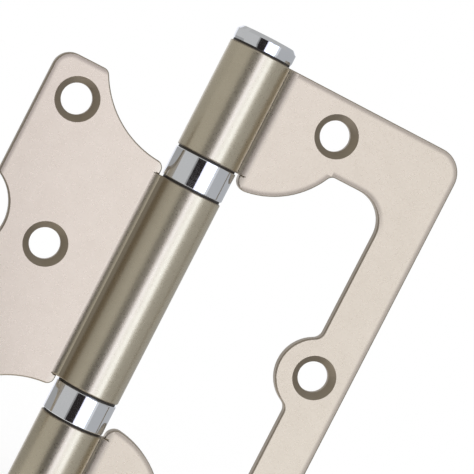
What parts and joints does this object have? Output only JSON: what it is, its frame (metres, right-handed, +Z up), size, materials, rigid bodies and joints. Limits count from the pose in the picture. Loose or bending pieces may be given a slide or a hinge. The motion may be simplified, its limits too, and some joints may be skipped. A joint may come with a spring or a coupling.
{
  "type": "flush door hinge",
  "caption": "Flush door hinge shown open: an inner leaf nests in an outer leaf's window and swings on a capped pin through rolled knuckles, with ball bearings between them.",
  "frame": {"origin": "on the barrel's axis, at the middle of the knuckles' height", "axes": "+Z up along the barrel, +X towards the outer leaf, +Y towards the backs of the leaves, so the countersinks open towards -Y"},
  "size_m": [0.0788, 0.0124, 0.1064],
  "materials": {
    "satin_plate": "satin nickel plated steel sheet",
    "bright_chrome": "polished chrome plate",
    "pin_steel": "ground steel",
    "race_steel": "hardened and ground steel",
    "ball_steel": "polished steel",
    "cage_brass": "stamped brass",
    "washer_plastic": "moulded black plastic"
  },
  "bodies": {
    "outer": {"outer_leaf": "satin_plate", "hinge_pin": "pin_steel", "top_cap": "bright_chrome", "bottom_cap": "bright_chrome", "top_cap_washer": "washer_plastic", "bottom_cap_washer": "washer_plastic", "upper_bearing_ring": "bright_chrome", "lower_bearing_ring": "bright_chrome", "upper_fixed_race": "race_steel", "lower_fixed_race": "race_steel", "upper_fixed_washer": "washer_plastic", "lower_fixed_washer": "washer_plastic"},
    "inner": {"inner_leaf": "satin_plate", "upper_turning_race": "race_steel", "lower_turning_race": "race_steel", "upper_turning_washer": "washer_plastic", "lower_turning_washer": "washer_plastic"},
    "upper_ball_set": {"upper_balls": "ball_steel", "upper_ball_cage": "cage_brass"},
    "lower_ball_set": {"lower_balls": "ball_steel", "lower_ball_cage": "cage_brass"}
  },
  "joints": [
    {"name": "leaf_swing", "type": "hinge", "parent": "outer", "child": "inner", "pos_m": [0, 0, 0], "axis": [0, 0, 1], "range_deg": [0, 180]},
    {"name": "upper_balls_roll", "type": "hinge", "parent": "outer", "child": "upper_ball_set", "pos_m": [0, 0, 0.02455], "axis": [0, 0, 1], "range_deg": [0, 90]},
    {"name": "lower_balls_roll", "type": "hinge", "parent": "outer", "child": "lower_ball_set", "pos_m": [0, 0, -0.02455], "axis": [0, 0, 1], "range_deg": [0, 90]}
  ],
  "couplings": [
    {"joint": "upper_balls_roll", "follows": "leaf_swing", "ratio": 0.5},
    {"joint": "lower_balls_roll", "follows": "leaf_swing", "ratio": 0.5}
  ]
}
